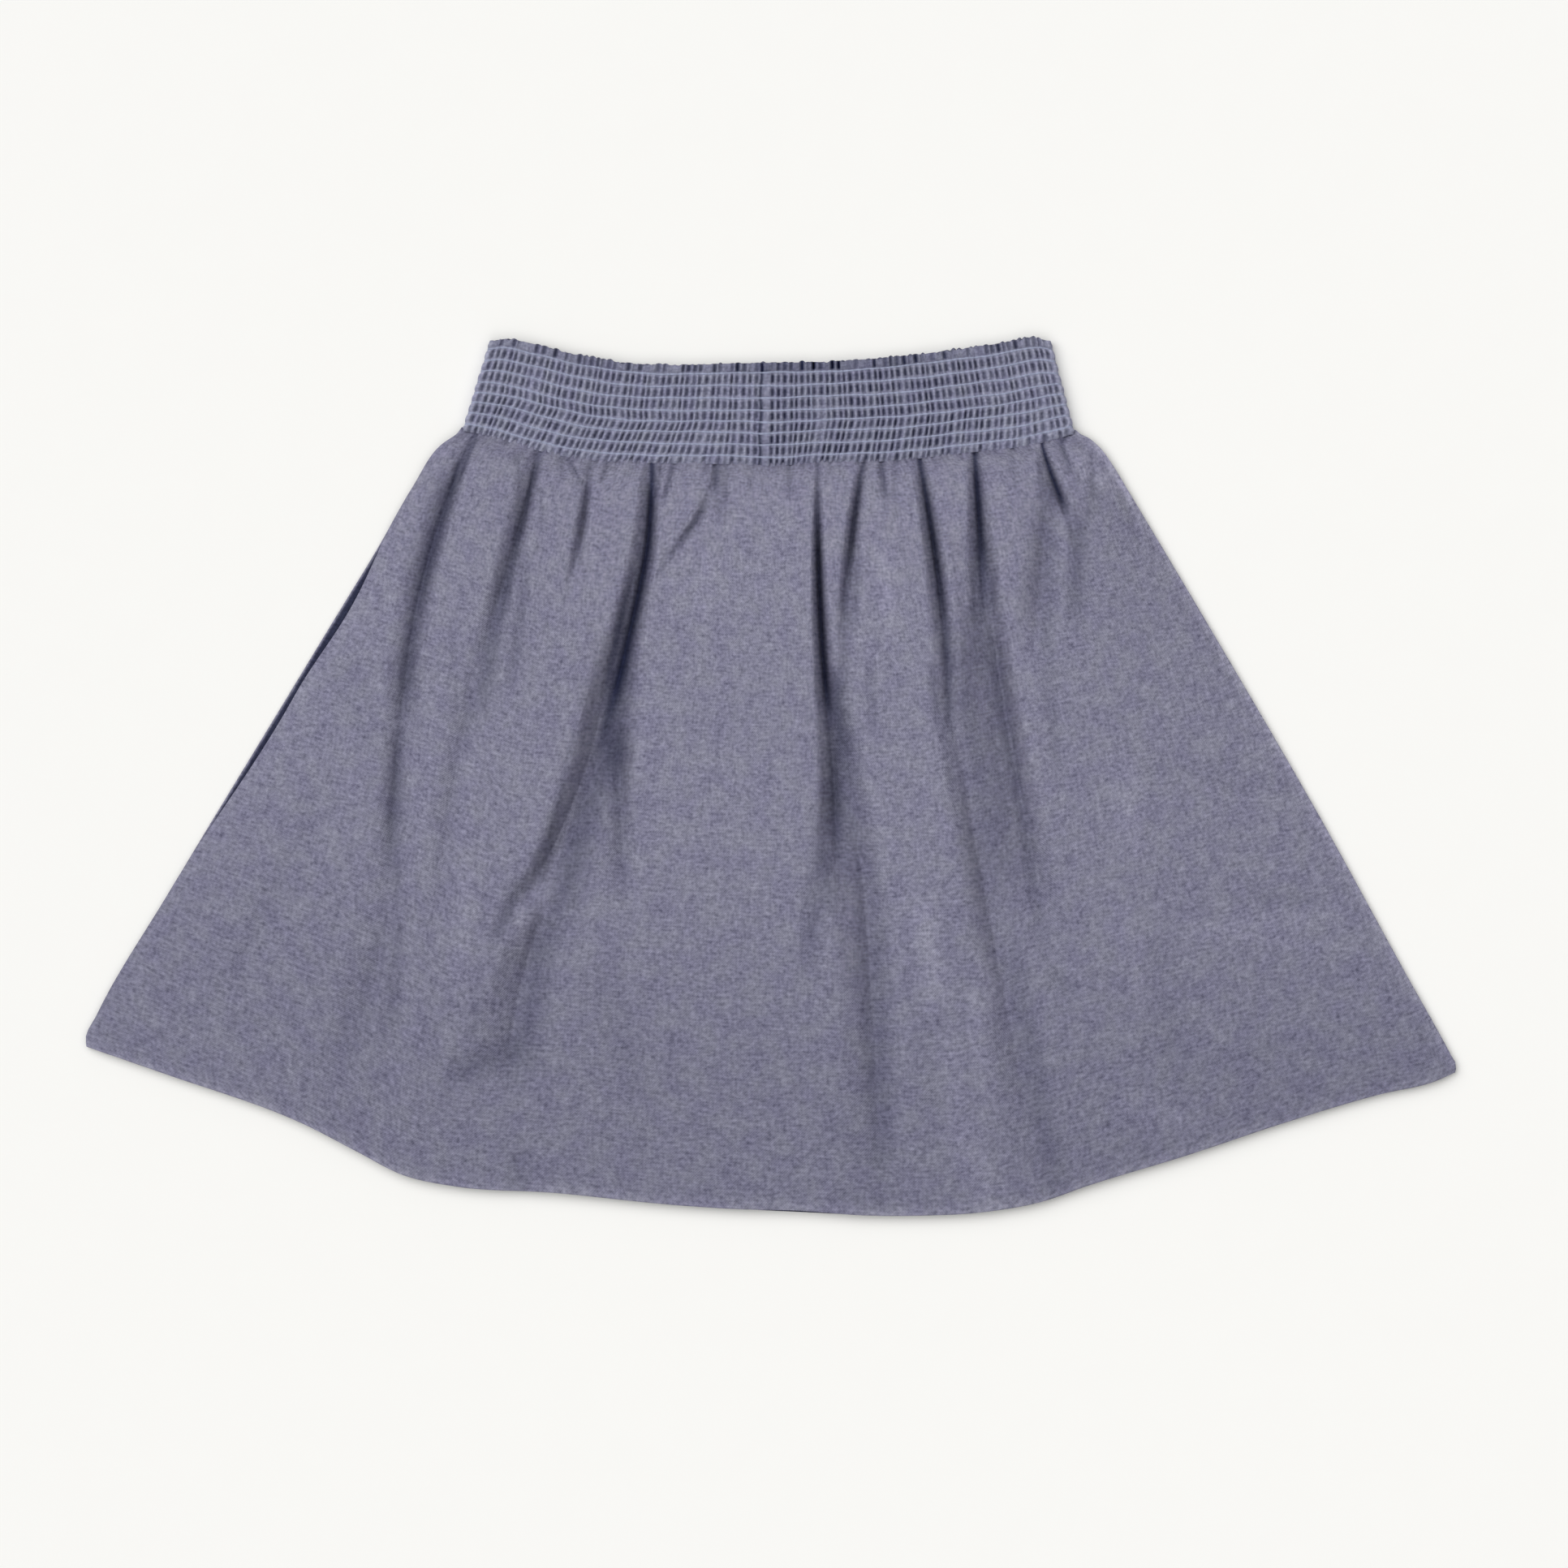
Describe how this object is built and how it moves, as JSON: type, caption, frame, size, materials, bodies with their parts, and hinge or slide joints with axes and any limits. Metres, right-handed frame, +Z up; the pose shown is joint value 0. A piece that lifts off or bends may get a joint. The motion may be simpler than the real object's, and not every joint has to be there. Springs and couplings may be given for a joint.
{
  "type": "gathered skirt",
  "caption": "Child's A-line chambray skirt with a shirred elastic waistband, laid flat with its back up: two panels lying on each other, gathered into the band in soft folds.",
  "frame": {"origin": "centre of the laid skirt's bounding box, on the surface that it lies on", "axes": "+Z up from the surface, +Y from the hem to the waist, +X across the width, to the right in the picture"},
  "size_m": [0.514, 0.3298, 0.0142],
  "materials": {
    "chambray": "indigo-grey chambray, plain weave of blue warp and pale weft, matt",
    "chambray_shirred": "the same chambray, gathered small by rows of shirring",
    "stitching": "pale blue sewing thread, slight sheen"
  },
  "bodies": {
    "root": {"skirt_back_panel": "chambray", "skirt_front_panel": "chambray", "waistband": "chambray_shirred"}
  },
  "joints": []
}
